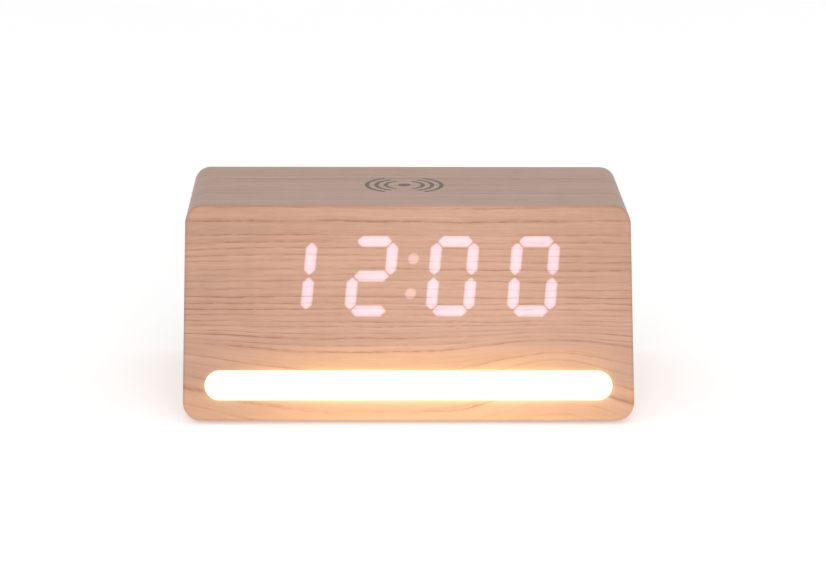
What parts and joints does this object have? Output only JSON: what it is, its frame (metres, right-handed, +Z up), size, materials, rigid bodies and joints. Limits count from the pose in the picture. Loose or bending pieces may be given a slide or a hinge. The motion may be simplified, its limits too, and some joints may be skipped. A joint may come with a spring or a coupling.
{
  "type": "alarm clock",
  "caption": "Wood-look LED alarm clock with a sloping front, digits that shine through the foil, a warm light bar along the foot and a wireless charging top.",
  "frame": {"origin": "on the table, under the middle of the clock's bounding box", "axes": "+X to the right of someone who reads the clock, -Y towards that person, +Z up"},
  "size_m": [0.15, 0.0972, 0.0672],
  "materials": {
    "wood_foil": "satin wood-grain foil",
    "mark_ink": "printed mark",
    "fibreboard": "raw fibreboard",
    "black_plastic": "fine texture",
    "black_rubber": "matte",
    "white_plastic": "white, light-tight",
    "milky_diffuser": "milky, lit warm white",
    "film_white": "diffusing film",
    "board_green": "solder mask",
    "chip_black": "moulded",
    "led_chip": "phosphor",
    "steel": "plated",
    "copper": "enamelled wire",
    "ferrite": "sintered",
    "wire_sheath": "soft",
    "ribbon_grey": "soft"
  },
  "bodies": {
    "clock": {"buzzer": "black_plastic", "capacitors": "steel", "charger_lead": "wire_sheath", "charging_board": "board_green", "charging_chips": "chip_black", "charging_coil": "copper", "charging_mark": "mark_ink", "charging_screws": "steel", "clock_crystal": "steel", "coil_bracket": "black_plastic", "coil_ferrite": "ferrite", "coin_cell": "steel", "coin_cell_contacts": "steel", "coin_cell_holder": "black_plastic", "controller_chip": "chip_black", "display_board": "board_green", "display_driver": "chip_black", "display_film": "film_white", "display_leds": "led_chip", "display_mask": "white_plastic", "display_ribbon": "ribbon_grey", "display_screws": "steel", "down_switch_base": "chip_black", "foot_front_left": "black_rubber", "foot_front_right": "black_rubber", "foot_rear_left": "black_rubber", "foot_rear_right": "black_rubber", "front_panel": "fibreboard", "front_veneer": "wood_foil", "lead_sockets": "white_plastic", "light_bar_board": "board_green", "light_bar_leds": "led_chip", "light_bar_lens": "milky_diffuser", "light_bar_screws": "steel", "light_bar_trough": "white_plastic", "light_lead": "wire_sheath", "light_switch_base": "chip_black", "main_board": "board_green", "main_board_screws": "steel", "microphone": "steel", "rear_cover": "black_plastic", "rear_cover_screws": "steel", "screw_blocks": "fibreboard", "set_switch_base": "chip_black", "temperature_sensor": "chip_black", "up_switch_base": "chip_black", "usb_shell": "steel", "usb_tongue": "black_plastic", "wood_core": "fibreboard", "wrap_veneer": "wood_foil"},
    "set_button_body": {"set_button": "black_plastic", "set_switch_plunger": "white_plastic"},
    "up_button_body": {"up_button": "black_plastic", "up_switch_plunger": "white_plastic"},
    "down_button_body": {"down_button": "black_plastic", "down_switch_plunger": "white_plastic"},
    "light_button_body": {"light_button": "black_plastic", "light_switch_plunger": "white_plastic"},
    "door_body": {"battery_door": "black_plastic"}
  },
  "joints": [
    {"name": "set_button_press", "type": "slide", "parent": "clock", "child": "set_button_body", "axis": [0, -1, 0], "range_m": [0, 0.0005], "stiffness_N_per_m": 1500},
    {"name": "up_button_press", "type": "slide", "parent": "clock", "child": "up_button_body", "axis": [0, -1, 0], "range_m": [0, 0.0005], "stiffness_N_per_m": 1500},
    {"name": "down_button_press", "type": "slide", "parent": "clock", "child": "down_button_body", "axis": [0, -1, 0], "range_m": [0, 0.0005], "stiffness_N_per_m": 1500},
    {"name": "light_button_press", "type": "slide", "parent": "clock", "child": "light_button_body", "axis": [0, -1, 0], "range_m": [0, 0.0005], "stiffness_N_per_m": 1500},
    {"name": "battery_door_lift", "type": "slide", "parent": "clock", "child": "door_body", "axis": [0, 1, 0], "range_m": [0, 0.015]}
  ]
}
